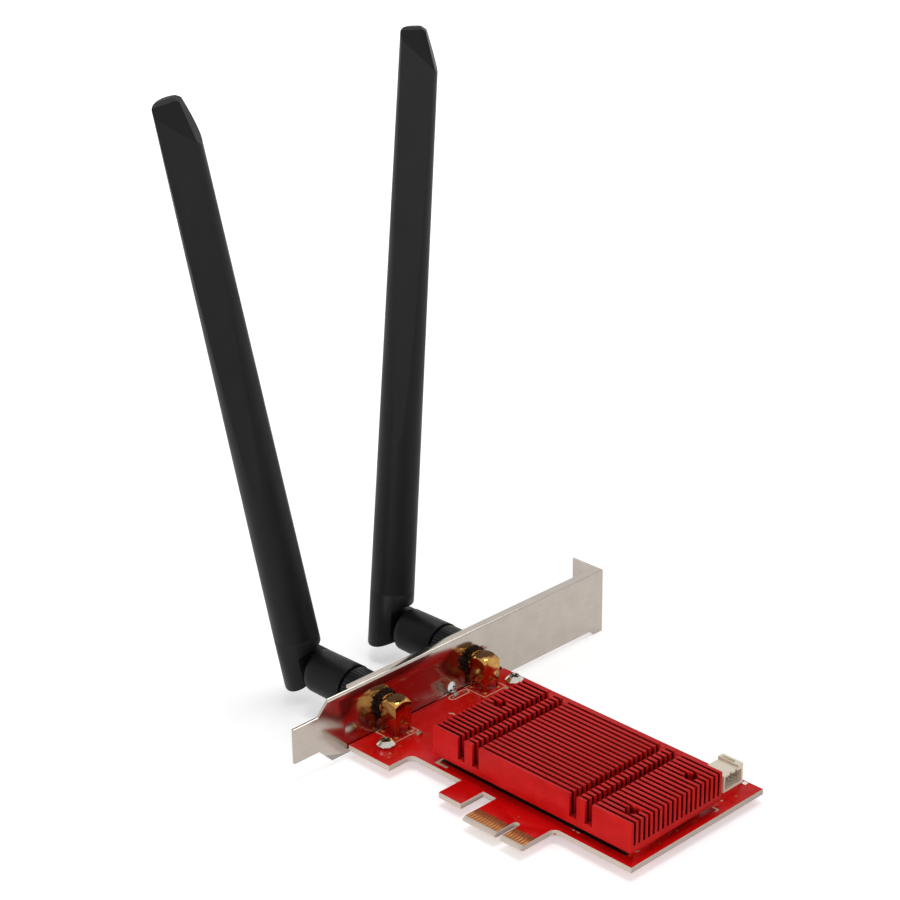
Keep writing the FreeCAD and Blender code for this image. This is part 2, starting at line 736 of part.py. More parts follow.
def lead_socket():
    """Right-angle shrouded socket for the internal lead, open towards the board's far end."""
    body = new_body("lead_socket_housing")
    back = HEADER_FRONT - s.header_deep
    roof = BOARD_TOP + s.header_high
    block = new_sketch(body, "XY", BOARD_TOP)
    rectangle(block, back, HEADER_LOW, HEADER_FRONT, HEADER_HIGH)
    pad(body, block, s.header_high)
    crest = new_sketch(body, "XY", roof)
    rectangle(crest, back, HEADER_LOW, back + s.header_crest_deep, HEADER_HIGH)
    pad(body, crest, s.header_crest)
    cavity = new_sketch(body, "YZ", HEADER_FRONT)
    rectangle(cavity, HEADER_LOW + s.header_wall, BOARD_TOP + s.header_wall,
              HEADER_HIGH - s.header_wall, roof - s.header_wall)
    pocket(body, cavity, s.header_cavity)
    groove = new_sketch(body, "XY", roof + s.header_crest)
    inset = 2 * s.header_wall
    rectangle(groove, back + s.header_wall, HEADER_LOW + inset,
              back + s.header_crest_deep - s.header_wall, HEADER_HIGH - inset)
    pocket(body, groove, s.header_crest)
    notches = new_sketch(body, "XY", roof)
    for y in (HEADER_LOW + 3 * s.header_wall, HEADER_HIGH - 3 * s.header_wall):
        rectangle(notches, HEADER_FRONT - 2 * s.header_notch, y - s.header_notch / 2, HEADER_FRONT,
                  y + s.header_notch / 2)
    pocket(body, notches, s.header_wall)
    pins = new_body("lead_socket_pins")
    level = BOARD_TOP + s.header_high / 2
    half = s.pin_size / 2
    tails = new_sketch(pins, "XY", level + half)
    for x, y in header_pins():
        rectangle(tails, x - half, y - half, x + half, y + half)
    pad(pins, tails, level + half - BRACKET_FOOT + s.pin_tail, reverse=True)
    tips = new_sketch(pins, "YZ", header_pins()[0][0])
    for x, y in header_pins():
        rectangle(tips, y - half, level - half, y + half, level + half)
    pad(pins, tips, s.header_cavity - s.pin_size)
    room = new_sketch(body, "XY", level + half)
    for x, y in header_pins():
        rectangle(room, x - half, y - half, x + half, y + half)
    pocket(body, room, s.header_high)
    ways = new_sketch(body, "YZ", HEADER_FRONT)
    for x, y in header_pins():
        rectangle(ways, y - half, level - half, y + half, level + half)
    pocket(body, ways, HEADER_FRONT - header_pins()[0][0] + half)


def aerial_jack(side, along):
    """Right-angle board jack: block with a turned crown, threaded barrel, insulator, pin, washer, nut."""
    block = new_body(side + "_jack_body")
    half = s.block_size / 2
    plan = new_sketch(block, "XY", -s.block_deep)
    rectangle(plan, -half, -half, half, half)
    pad(block, plan, s.block_deep + s.block_high)
    crown = new_sketch(block, "XZ")
    corner = s.block_size
    drop = s.block_crown_drop * (corner - s.block_crown_radius) / (half * 2 * LEG_DIAGONAL - s.block_crown_radius)
    polygon(crown, [(s.block_crown_radius, s.block_high), (corner, s.block_high), (corner, s.block_high - drop)])
    turned(block, crown, "Groove", "V_Axis")
    legs = new_sketch(block, "XY", -s.block_deep)
    for dx, dy in jack_legs():
        rectangle(legs, dx - s.leg_size / 2, dy - s.leg_size / 2, dx + s.leg_size / 2, dy + s.leg_size / 2)
    pad(block, legs, JACK_Z - s.block_deep - LEG_END, reverse=True)
    barrel = new_sketch(block, "YZ", -half)
    circle(barrel, 0, 0, s.barrel_radius)
    pad(block, barrel, s.washer_thick + s.barrel_reach, reverse=True)
    mouth = -half - s.washer_thick - s.barrel_reach
    bore = new_sketch(block, "YZ", mouth)
    circle(bore, 0, 0, s.barrel_bore)
    pocket(block, bore, s.barrel_bore - mouth, reverse=True)
    well = new_sketch(block, "XY", -s.block_deep)
    circle(well, 0, 0, s.barrel_bore - s.sheet_thick)
    pocket(block, well, s.block_deep, reverse=True)

    filler = new_body(side + "_jack_insulator")
    fill_start = -half - s.washer_thick - s.barrel_fill
    rod = new_sketch(filler, "YZ", fill_start)
    circle(rod, 0, 0, s.barrel_bore)
    circle(rod, 0, 0, s.jack_pin_radius)
    pad(filler, rod, -fill_start - s.leg_size)

    contact = new_body(side + "_jack_contact")
    reach = new_sketch(contact, "YZ", -half - s.washer_thick - s.jack_pin_reach)
    circle(reach, 0, 0, s.jack_pin_radius)
    pad(contact, reach, half + s.washer_thick + s.jack_pin_reach)
    tail_half = s.jack_pin_radius - s.hinge_play
    tail = new_sketch(contact, "XY", tail_half)
    rectangle(tail, -tail_half, -tail_half, tail_half, tail_half)
    pad(contact, tail, tail_half + JACK_Z - LEG_END, reverse=True)

    washer = new_body(side + "_jack_washer")
    ring = new_sketch(washer, "YZ", -half - s.washer_thick)
    circle(ring, 0, 0, s.washer_radius)
    circle(ring, 0, 0, s.barrel_radius + s.thread_play)
    pad(washer, ring, s.washer_thick)
    tooth = new_sketch(washer, "YZ", -half)
    rectangle(tooth, -s.washer_tooth / 2, s.washer_radius - s.washer_tooth, s.washer_tooth / 2,
              s.washer_radius + s.washer_tooth)
    ring_of(washer, pocket(washer, tooth, s.washer_thick), "X", s.washer_teeth)

    nut = new_body(side + "_jack_nut")
    face = new_sketch(nut, "YZ", -half - s.washer_thick - s.sheet_thick)
    corner = s.jack_nut_across / math.sqrt(3)
    turns = [math.radians(60 * k) for k in range(6)]
    polygon(face, [(corner * math.cos(turn), corner * math.sin(turn)) for turn in turns])
    circle(face, 0, 0, s.barrel_radius + s.thread_play)
    pad(nut, face, s.jack_nut_thick, reverse=True)
    for body in (block, filler, contact, washer, nut):
        place(body, JACK_X, along, JACK_Z)


def coupling_nut(side, along, lean):
    """Knurled nut that turns on the jack's thread and draws the plug's flange against it."""
    body = new_body(side + "_coupling_nut")
    start, end = s.nut_start, s.nut_start + s.nut_long
    shoulder = jack_mouth() - s.plug_flange_thick - 2 * s.plug_play
    profile = new_sketch(body, "XY")
    thread = s.barrel_radius + s.thread_play
    polygon(profile, [
        (start, s.nut_shoulder), (start, s.nut_radius - s.nut_bevel), (start + s.nut_bevel, s.nut_radius),
        (end - s.nut_bevel, s.nut_radius), (end, s.nut_radius - s.nut_bevel), (end, thread),
        (shoulder, thread), (shoulder, s.nut_shoulder)])
    turned(body, profile, "Revolution", "H_Axis")
    knurl = new_sketch(body, "YZ", end)
    polygon(knurl, [(0, s.nut_radius - s.knurl_depth), (s.knurl_depth, s.nut_radius + s.knurl_depth),
                    (-s.knurl_depth, s.nut_radius + s.knurl_depth)])
    ring_of(body, pocket(body, knurl, s.nut_long), "X", s.knurl_count)
    place_aerial(body, along, lean)


def jack_mouth():
    """The jack's open end, measured from the blade's axis."""
    return s.blade_out - s.barrel_reach


def place_aerial(body, along, lean):
    place(body, BLADE_X, along, JACK_Z, lean)


def aerial_plug(side, along, lean):
    """The metal plug in the elbow's end: shell with a captured flange, insulator and socket contact."""
    shell = new_body(side + "_plug_shell")
    flange_end = jack_mouth() - s.plug_play
    flange_start = flange_end - s.plug_flange_thick
    back = s.elbow_end - s.plug_depth
    nose = jack_mouth() + s.plug_nose
    nose_radius = s.barrel_bore - s.plug_play
    profile = new_sketch(shell, "XY")
    polygon(profile, [
        (back, s.plug_bore), (back, s.plug_radius), (flange_start, s.plug_radius), (flange_start, s.plug_flange),
        (flange_end, s.plug_flange), (flange_end, nose_radius), (nose, nose_radius), (nose, s.plug_bore)])
    turned(shell, profile, "Revolution", "H_Axis")
    socket_start = nose - s.socket_long
    filler = new_body(side + "_plug_insulator")
    tube = new_sketch(filler, "XY")
    rectangle(tube, back, s.socket_radius, nose - s.plug_play, s.plug_bore)
    turned(filler, tube, "Revolution", "H_Axis")
    socket = new_body(side + "_plug_contact")
    round_bar = new_sketch(socket, "YZ", socket_start)
    circle(round_bar, 0, 0, s.socket_radius)
    pad(socket, round_bar, s.socket_long - s.plug_play)
    entry = new_sketch(socket, "YZ", nose - s.plug_play)
    circle(entry, 0, 0, s.jack_pin_radius + s.hinge_play)
    pocket(socket, entry, s.plug_nose)
    for body in (shell, filler, socket):
        place_aerial(body, along, lean)


def elbow(side, along, lean):
    """Turned elbow whose far half runs on past the rim as a round lug about the hinge pin."""
    body = new_body(side + "_elbow")
    profile = new_sketch(body, "XY")
    polygon(profile, [(s.elbow_rim, 0), (s.elbow_rim, s.elbow_small), (s.elbow_end, s.elbow_large), (s.elbow_end, 0)])
    turned(body, profile, "Revolution", "H_Axis")
    lug = new_sketch(body, "XZ", -s.lap_gap)
    top = s.lug_round * trig("sin", s.lug_angle)
    rounded_end(lug, (0, 0), s.lug_round, s.lug_angle, 270, [(s.elbow_rim, -s.lug_round), (s.elbow_rim, top)])
    pad(body, lug, s.elbow_small, reverse=True)
    outside = new_sketch(body, "XY")
    clear = 2 * s.elbow_small
    rectangle(outside, -clear, s.elbow_small, s.elbow_rim, clear)
    turned(body, outside, "Groove", "H_Axis")
    seat = new_sketch(body, "YZ", s.elbow_end)
    circle(seat, 0, 0, s.plug_radius)
    pocket(body, seat, s.plug_depth)
    lead_way = new_sketch(body, "YZ", s.elbow_end)
    circle(lead_way, 0, 0, s.socket_radius)
    pocket(body, lead_way, s.elbow_end - s.elbow_rim)
    pin_hole = new_sketch(body, "XZ", -s.lap_gap)
    circle(pin_hole, 0, 0, s.hinge_pin_radius)
    pocket(body, pin_hole, s.pin_depth)
    place_aerial(body, along, lean)


def hinge_pin(side, along, lean):
    body = new_body(side + "_hinge_pin")
    profile = new_sketch(body, "XZ", -s.lap_gap - s.pin_depth)
    circle(profile, 0, 0, s.hinge_pin_radius)
    pad(body, profile, 2 * (s.lap_gap + s.pin_depth))
    place_aerial(body, along, lean)


def knuckle(side, along, lean):
    """Foot of the blade: a round stub whose near half runs down past the elbow as the hinge finger."""
    body = new_body(side + "_knuckle")
    floor = s.lug_round + s.floor_gap
    stub = new_sketch(body, "XY", floor)
    circle(stub, 0, 0, s.blade_radius)
    pad(body, stub, s.seam_high - floor)
    finger = new_sketch(body, "XZ", s.lap_gap)
    clear = 2 * s.blade_radius
    root = floor + s.finger_root
    centre = -s.finger_shift, s.finger_round - s.finger_reach
    flank = centre[0] + s.finger_round * trig("cos", s.finger_end)
    toe = centre[1] + s.finger_round * trig("sin", s.finger_end)
    rounded_end(finger, centre, s.finger_round, s.finger_start, s.finger_end,
                [(flank, floor - s.finger_flare), (flank + s.finger_flare + s.finger_root, root), (-clear, root)])
    pad(body, finger, s.blade_radius)
    round_edges(body, s.finger_corner, "Y", [(flank, toe)])
    outside = new_sketch(body, "XZ")
    rectangle(outside, s.blade_radius, -clear, 2 * clear, root)
    turned(body, outside, "Groove", "V_Axis")
    spigot = new_sketch(body, "XY", s.seam_high)
    circle(spigot, 0, 0, s.blade_radius - s.sleeve_wall)
    pad(body, spigot, s.spigot_long)
    seat = new_sketch(body, "XY", s.seam_high + s.spigot_long)
    radiator_outline(seat)
    pocket(body, seat, s.spigot_long - s.radiator_seat)
    pin_hole = new_sketch(body, "XZ", s.lap_gap)
    circle(pin_hole, 0, 0, s.hinge_pin_radius + s.hinge_play)
    pocket(body, pin_hole, s.pin_depth + s.hinge_play, reverse=True)
    place_aerial(body, along, lean)


def radiator_outline(sketch):
    """Section of the radiator board, turned with the blade."""
    half_wide, half_thick = s.radiator_wide / 2, s.radiator_thick / 2
    along, across = trig("cos", s.blade_turn), trig("sin", s.blade_turn)
    corners = [(-half_wide, -half_thick), (half_wide, -half_thick), (half_wide, half_thick), (-half_wide, half_thick)]
    polygon(sketch, [(x * along - y * across, x * across + y * along) for x, y in corners])


def turned_place(body, along, lean):
    """Place a piece of the blade, turned about the blade's own axis."""
    place_aerial(body, along, lean)
    spin = FreeCAD.Rotation(FreeCAD.Vector(0, 0, 1), s.blade_turn.number)
    body.Placement = FreeCAD.Placement(body.Placement.Base, body.Placement.Rotation.multiply(spin))


def oblique_cut(body, turn, height, slope):
    """Cut the tip by a plane that falls along one direction, at the given height on the blade's axis."""
    reach = 2 * s.blade_radius
    wedge = new_sketch(body, "XZ", turn=turn)
    polygon(wedge, [(reach, height - slope * reach), (reach, height + slope * reach),
                    (-reach, height + slope * reach)])
    cut_through(body, wedge)


def sleeve(side, along, lean):
    """Hollow tapered blade with a round back and one long flat, cut twice at the tip."""
    body = new_body(side + "_sleeve")
    profile = new_sketch(body, "XZ")
    polygon(profile, [(0, s.seam_high), (s.blade_radius, s.seam_high), (s.tip_radius, s.blade_tip), (0, s.blade_tip)])
    turned(body, profile, "Revolution", "V_Axis")
    flat = new_sketch(body, "YZ")
    clear = 2 * s.blade_radius
    polygon(flat, [(-s.blade_radius, s.blade_flat_start), (-clear, s.blade_flat_start), (-clear, s.blade_tip),
                   (-s.blade_flat, s.blade_tip)])
    cut_through(body, flat)
    oblique_cut(body, None, s.blade_tip + s.shoulder_rise, s.shoulder_slope)
    oblique_cut(body, s.tip_turn, s.blade_tip - s.tip_drop, s.tip_slope)
    mouth = new_sketch(body, "XY", s.seam_high)
    circle(mouth, 0, 0, s.blade_radius - s.sleeve_wall)
    pocket(body, mouth, s.spigot_long, reverse=True)
    base = new_sketch(body, "XY", s.seam_high + s.spigot_long)
    ellipse(base, s.blade_radius - s.sleeve_wall - s.cavity_step, s.blade_radius - 2 * s.sleeve_wall)
    top = new_sketch(body, "XY", s.blade_tip - s.cavity_short)
    ellipse(top, s.cavity_half_wide, s.cavity_half_thick)
    hollow = add_feature(body, "SubtractiveLoft", base)
    hollow.Sections = [top]
    hollow.Ruled = True
    turned_place(body, along, lean)
    board = new_body(side + "_radiator")
    strip = new_sketch(board, "XY", s.seam_high + s.radiator_seat)
    radiator_outline(strip)
    pad(board, strip, s.radiator_long)
    place_aerial(board, along, lean)


def write_parts():
    doc.recompute()
    broken = [thing.Label for thing in doc.Objects if {"Invalid", "Error"} & set(thing.State)]
    if broken:
        raise RuntimeError(f"did not recompute: {broken}")
    pieces = [thing for thing in doc.Objects if thing.TypeId in ("PartDesign::Body", "Part::Feature")]
    pieces = [piece for piece in pieces if piece.Label != "bracket_screw_form"]
    for piece in pieces:
        if piece.Shape.isNull() or not piece.Shape.isValid():
            raise RuntimeError(f"{piece.Label}: bad shape")
    os.makedirs("parts", exist_ok=True)
    for piece in pieces:
        piece.Shape.exportStep(f"parts/{piece.Label}.step")
        print(piece.Label, len(piece.Shape.Solids), round(piece.Shape.Volume, 2))


circuit_board()
edge_contacts("edge_contacts_top", BOARD_TOP)
edge_contacts("edge_contacts_under", BOARD_UNDER - s.pad_thick)
bracket()
bracket_screws()
heatsink()
heatsink_fixings()
radio_module()
board_chips()
status_lamp()
lead_socket()
for side, along, lean in (("left", JACK_LOW, s.lean_left), ("right", JACK_HIGH, s.lean_right)):
    aerial_jack(side, along)
    coupling_nut(side, along, lean)
    aerial_plug(side, along, lean)
    elbow(side, along, lean)
    hinge_pin(side, along, lean)
    knuckle(side, along, lean)
    sleeve(side, along, lean)
write_parts()
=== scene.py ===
import itertools
import math

import bmesh
import bpy
from mathutils import Euler, Matrix, Vector


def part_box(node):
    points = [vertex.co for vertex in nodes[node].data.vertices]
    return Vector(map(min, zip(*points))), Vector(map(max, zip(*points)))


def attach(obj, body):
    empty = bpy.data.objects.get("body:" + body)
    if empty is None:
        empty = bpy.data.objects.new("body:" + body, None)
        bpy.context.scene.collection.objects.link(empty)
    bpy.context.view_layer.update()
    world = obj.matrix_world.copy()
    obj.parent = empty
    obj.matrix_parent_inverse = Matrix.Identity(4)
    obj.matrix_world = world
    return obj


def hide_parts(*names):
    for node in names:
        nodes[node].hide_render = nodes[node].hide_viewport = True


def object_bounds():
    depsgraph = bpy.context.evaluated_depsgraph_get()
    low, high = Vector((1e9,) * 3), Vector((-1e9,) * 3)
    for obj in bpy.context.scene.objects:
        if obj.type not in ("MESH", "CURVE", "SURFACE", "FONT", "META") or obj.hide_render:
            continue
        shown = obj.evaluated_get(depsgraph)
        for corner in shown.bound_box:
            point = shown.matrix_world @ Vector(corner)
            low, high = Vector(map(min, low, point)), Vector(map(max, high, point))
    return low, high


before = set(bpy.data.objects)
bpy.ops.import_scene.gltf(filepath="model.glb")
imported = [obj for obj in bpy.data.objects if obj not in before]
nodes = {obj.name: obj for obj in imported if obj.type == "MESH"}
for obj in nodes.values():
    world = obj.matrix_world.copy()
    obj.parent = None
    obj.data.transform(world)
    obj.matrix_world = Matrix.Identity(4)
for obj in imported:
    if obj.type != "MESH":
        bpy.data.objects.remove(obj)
cad_bounds = [list(corner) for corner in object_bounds()]
scene = bpy.context.scene
MM = 0.001
SIDES = ("left", "right")


def in_mm(corners):
    return tuple(corner / MM for corner in corners)


BOARD_LOW, BOARD_HIGH = in_mm(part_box("circuit_board"))
SINK_LOW, SINK_HIGH = in_mm(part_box("heatsink"))
CONTACT_LOW, CONTACT_HIGH = in_mm(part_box("edge_contacts_top"))


# Materials

NOISE_BAND = (0.3, 0.7)
NOISE_ROUGHNESS = 0.55
COARSE, MEDIUM, FINE = 2.0, 3.0, 4.0

CLOUD_SIZE = (9, 9, 9)
TRACK_SHAPE = {"offset": 0.35, "squash": 1.6}
TRACK_GAP = 0.05
TRACK_PITCH = (3.1, 2.3, 3.0)
TRACK_PATCH, TRACK_BAND = (7, 7, 7), (0.45, 0.6)
TRACK_SHOW, TRACK_BUMP = 0.3, 0.12
MASK_ROUGH, MASK_GLOSS = (0.24, 0.32), 0.08
MASK_WRAP = 0.1
MASKED_END = BOARD_LOW.x + MASK_WRAP
NO_MASKED_END = -1000.0
LAMINATE = (0.32, 0.12, 0.05)
CONTACT_MARGIN = 0.8
FIBRE_SIZE = (0.5, 0.5, 0.12)
FIBRE_SHADE, FIBRE_ROUGHER = 0.72, 0.3
FACE_UPRIGHT = 0.97

PATCH_SIZE, METAL_BAND = (5, 5, 5), (0.8, 1.2)
DARK_TOP_UPRIGHT = 0.98
GAP_SKY, GAP_SAMPLES = (0.30, 0.80), 8

MOULD_CLOUD, MOULD_BAND = (6, 6, 14), (0.75, 1.25)
MOULD_ROUGH_PLAY = 0.06
MOULD_GRAIN_DEEP = 0.03
LIGHT_DEPTH = 0.6

WEAR_SIZE, WEAR_BAND = (0.5, 0.5, 0.5), (0.35, 0.7)
INK_SHADE, INK_ROUGH = 0.8, (0.5, 0.65)


class Shader:
    """One material and a short way to add its nodes."""

    def __init__(self, name):
        self.material = bpy.data.materials.new(name)
        self.material.use_nodes = True
        self.tree = self.material.node_tree
        self.surface = self.tree.nodes["Principled BSDF"]
        self.place = self.add("ShaderNodeTexCoord").outputs["Object"]
        self.normal = self.add("ShaderNodeNewGeometry").outputs["True Normal"]

    def add(self, kind, settings=None, **inputs):
        node = self.tree.nodes.new(kind)
        for key, value in (settings or {}).items():
            setattr(node, key, value)
        for key, value in inputs.items():
            self.put(node.inputs[key.replace("_", " ")], value)
        return node

    def put(self, socket, value):
        if isinstance(value, bpy.types.NodeSocket):
            self.tree.links.new(value, socket)
        else:
            socket.default_value = value

    def set(self, **inputs):
        for key, value in inputs.items():
            self.put(self.surface.inputs[key.replace("_", " ")], value)

    def math(self, operation, first, second=0.0):
        node = self.add("ShaderNodeMath", {"operation": operation})
        self.put(node.inputs[0], first)
        self.put(node.inputs[1], second)
        return node.outputs[0]

    def stretch(self, x, y, z):
        """Coordinates in millimetres, divided by the given lengths."""
        mapping = self.add("ShaderNodeMapping")
        self.put(mapping.inputs["Vector"], self.place)
        mapping.inputs["Scale"].default_value = (1 / (x * MM), 1 / (y * MM), 1 / (z * MM))
        return mapping.outputs[0]

    def noise(self, x, y, z, detail=MEDIUM):
        node = self.add("ShaderNodeTexNoise", Scale=1.0, Detail=detail, Roughness=NOISE_ROUGHNESS)
        self.put(node.inputs["Vector"], self.stretch(x, y, z))
        return node.outputs["Fac"]

    def remap(self, value, low, high, to_low=0.0, to_high=1.0):
        node = self.add("ShaderNodeMapRange")
        for i, number in enumerate((value, low, high, to_low, to_high)):
            self.put(node.inputs[i], number)
        return node.outputs[0]

    def mix(self, factor, first, second):
        node = self.add("ShaderNodeMix", {"data_type": "RGBA"})
        self.put(node.inputs["Factor"], factor)
        # the two colour inputs and the colour output
        for socket, colour in zip(node.inputs[6:8], (first, second)):
            self.put(socket, (*colour, 1.0) if isinstance(colour, tuple) else colour)
        return node.outputs[2]

    def part(self, vector, axis):
        return self.add("ShaderNodeSeparateXYZ", Vector=vector).outputs[axis]

    def bump(self, height, strength, distance=0.05):
        node = self.add("ShaderNodeBump", Strength=strength, Distance=distance * MM)
        self.put(node.inputs["Height"], height)
        self.set(Normal=node.outputs[0])


def shaded(colour, share):
    return tuple(share * channel for channel in colour)


def board_material(name, deep, bright, fibre, masked_end=NO_MASKED_END, bare_box=None):
    """Solder mask with faint tracks on both faces and bare fibre on the cut edges.

    Edges below masked_end along X keep the mask. The laminate shows in the box of the edge contacts.
    """
    m = Shader(name)
    cloud = m.remap(m.noise(*CLOUD_SIZE), *NOISE_BAND)
    mask = m.mix(cloud, deep, bright)
    track = m.add("ShaderNodeTexBrick", TRACK_SHAPE, Scale=1.0, Mortar_Size=TRACK_GAP, Bias=0.0)
    m.put(track.inputs["Vector"], m.stretch(*TRACK_PITCH))
    patch = m.remap(m.noise(*TRACK_PATCH), *TRACK_BAND)
    lines = m.math("MULTIPLY", track.outputs["Fac"], patch)
    mask = m.mix(m.math("MULTIPLY", lines, TRACK_SHOW), mask, bright)
    if bare_box:
        low, high = bare_box
        over_x = m.math("GREATER_THAN", m.part(m.place, "X"), (low.x - CONTACT_MARGIN) * MM)
        under_y = m.math("LESS_THAN", m.part(m.place, "Y"), high.y * MM)
        mask = m.mix(m.math("MULTIPLY", over_x, under_y), mask, LAMINATE)
    core = m.mix(m.noise(*FIBRE_SIZE, COARSE), fibre, shaded(fibre, FIBRE_SHADE))
    upright = m.math("ABSOLUTE", m.part(m.normal, "Z"))
    bare = m.math("GREATER_THAN", m.part(m.place, "X"), masked_end * MM)
    side = m.math("MULTIPLY", m.math("LESS_THAN", upright, FACE_UPRIGHT), bare)
    m.set(Base_Color=m.mix(side, mask, core))
    rough = m.remap(cloud, 0, 1, *MASK_ROUGH)
    m.set(Roughness=m.math("ADD", rough, m.math("MULTIPLY", side, FIBRE_ROUGHER)))
    m.set(Specular_IOR_Level=MASK_GLOSS)
    m.bump(lines, TRACK_BUMP)
    return m


def metal(name, dull, bright, rough, grain=(0.6, 0.6, 0.6), metallic=1.0, bump=0.05, gloss=0.25):
    """Plated or anodised metal with a drawn grain and patchy polish."""
    m = Shader(name)
    fine = m.noise(*grain, FINE)
    both = m.math("ADD", fine, m.noise(*PATCH_SIZE))
    m.set(Base_Color=m.mix(m.remap(both, *METAL_BAND), dull, bright))
    m.set(Metallic=metallic, Specular_IOR_Level=gloss)
    m.set(Roughness=m.remap(fine, *NOISE_BAND, *rough))
    m.bump(fine, bump)
    return m


def recoloured(m, factor, colour):
    """Mix another colour into a finish where the factor says so."""
    old = m.surface.inputs["Base Color"].links[0].from_socket
    m.set(Base_Color=m.mix(factor, old, colour))
    return m


def painted_dark_top(m, colour):
    """Painted shade: a darker, duller colour on the faces that look straight up."""
    return recoloured(m, m.math("GREATER_THAN", m.part(m.normal, "Z"), DARK_TOP_UPRIGHT), colour)


def painted_gap_shade(m, colour, reach):
    """Painted shade: a darker colour deep in gaps and recesses, where ambient occlusion finds little
    open sky.
    """
    settings = {"only_local": True, "samples": GAP_SAMPLES}
    open_sky = m.add("ShaderNodeAmbientOcclusion", settings, Distance=reach * MM)
    return recoloured(m, m.remap(open_sky.outputs["AO"], *GAP_SKY, 1.0, 0.0), colour)


def moulding(name, dark, light, rough, texture=0.18, bump=0.15, through=0.0, gloss=0.5):
    """Moulded plastic with a fine even texture."""
    m = Shader(name)
    grain = m.noise(texture, texture, texture, COARSE)
    cloud = m.noise(*MOULD_CLOUD)
    both = m.math("ADD", grain, cloud)
    m.set(Base_Color=m.mix(m.remap(both, *MOULD_BAND), dark, light))
    rough_low, rough_high = rough - MOULD_ROUGH_PLAY, rough + MOULD_ROUGH_PLAY
    m.set(Roughness=m.remap(cloud, *NOISE_BAND, rough_low, rough_high), Specular_IOR_Level=gloss)
    m.set(Subsurface_Weight=through, Subsurface_Scale=LIGHT_DEPTH * MM)
    m.bump(grain, bump, MOULD_GRAIN_DEEP)
    return m


def ink(name, colour):
    m = Shader(name)
    wear = m.noise(*WEAR_SIZE, FINE)
    m.set(Base_Color=m.mix(m.remap(wear, *WEAR_BAND), colour, shaded(colour, INK_SHADE)))
    m.set(Roughness=m.remap(wear, *NOISE_BAND, *INK_ROUGH))
    return m


GOLD_TONES = (0.42, 0.21, 0.055), (0.60, 0.35, 0.11)
GOLD = metal("gold", *GOLD_TONES, (0.13, 0.20), (1.5, 1.5, 1.5), bump=0.012)
# the block's upward faces carry a painted shade, darker than the gold sides
BLOCK_GOLD = painted_dark_top(metal("block_gold", *GOLD_TONES, (0.12, 0.18), (2.0, 2.0, 2.0), bump=0.006),
                    (0.15, 0.065, 0.014))
CONTACT = metal("contact_gold", (0.38, 0.15, 0.048), (0.50, 0.22, 0.075), (0.42, 0.52),
                (0.2, 1.5, 0.2))
NICKEL = metal("bracket_nickel", (0.43, 0.38, 0.335), (0.47, 0.42, 0.375), (0.145, 0.165),
               (0.25, 9.0, 0.25), bump=0.004)
# painted shade: near-black mixed into the screw's slot and recesses where little light reaches
SCREW = painted_gap_shade(metal("screw_nickel", (0.46, 0.43, 0.39), (0.64, 0.61, 0.57), (0.08, 0.16)),
                (0.03, 0.028, 0.025), reach=0.8)
TIN = metal("tin", (0.50, 0.49, 0.46), (0.68, 0.67, 0.64), (0.25, 0.4))
# painted shade: the socket's pins in tin darkened for the shade deep inside the socket
PIN_TIN_IN_SHADE = metal("pin_tin", (0.20, 0.18, 0.15), (0.32, 0.30, 0.26), (0.35, 0.5))
BLACKENED = metal("blackened_steel", (0.010, 0.006, 0.005), (0.030, 0.020, 0.016), (0.4, 0.55))
# painted shade: dark red mixed in deep between the fins, where shade falls
ANODISED = painted_gap_shade(metal("red_anodised", (0.43, 0.004, 0.004), (0.52, 0.008, 0.007), (0.42, 0.52),
                         (9.0, 0.16, 0.16), metallic=0.2, bump=0.10, gloss=0.1),
                   (0.06, 0.001, 0.001), reach=3.0)
BRASS = metal("turned_brass", (0.45, 0.31, 0.12), (0.60, 0.45, 0.21), (0.25, 0.4))
MASK = board_material("red_solder_mask", (0.54, 0.002, 0.002), (0.63, 0.004, 0.004),
                      (0.62, 0.53, 0.46), MASKED_END, (CONTACT_LOW, CONTACT_HIGH))
MODULE = board_material("module_solder_mask", (0.01, 0.06, 0.03), (0.02, 0.10, 0.05),
                        (0.5, 0.45, 0.3))
BLACK = moulding("satin_black", (0.0044, 0.0044, 0.0048), (0.0074, 0.0074, 0.0081), 0.46, gloss=0.14)
JOINT = moulding("joint_black", (0.0036, 0.0036, 0.0040), (0.0066, 0.0066, 0.0070), 0.42, gloss=0.10)
KNURL = moulding("knurled_black", (0.0040, 0.0040, 0.0042), (0.0070, 0.0070, 0.0074), 0.38,
                 gloss=0.14)
CREAM = moulding("cream_nylon", (0.82, 0.75, 0.61), (0.90, 0.84, 0.70), 0.5, texture=0.3, bump=0.06,
                 through=0.15, gloss=0.3)
WHITE = moulding("white_insulator", (0.70, 0.69, 0.66), (0.80, 0.79, 0.77), 0.45)
SILICONE = moulding("grey_silicone", (0.18, 0.19, 0.22), (0.25, 0.26, 0.29), 0.7)
CERAMIC = moulding("tan_ceramic", (0.30, 0.19, 0.10), (0.42, 0.28, 0.16), 0.4)
LENS = moulding("clear_lens", (0.34, 0.34, 0.27), (0.46, 0.46, 0.39), 0.2, texture=0.4, bump=0.05,
                through=0.2)
# painted shade: a dark colour for the sheet that stands for the shade in the gap under the heatsink
SHADE_SHEET = moulding("painted_shade_film", (0.012, 0.003, 0.002), (0.030, 0.007, 0.005), 0.6, gloss=0.1)
SILK = ink("silk_screen", (0.72, 0.60, 0.42))


# Finishes of the CAD nodes

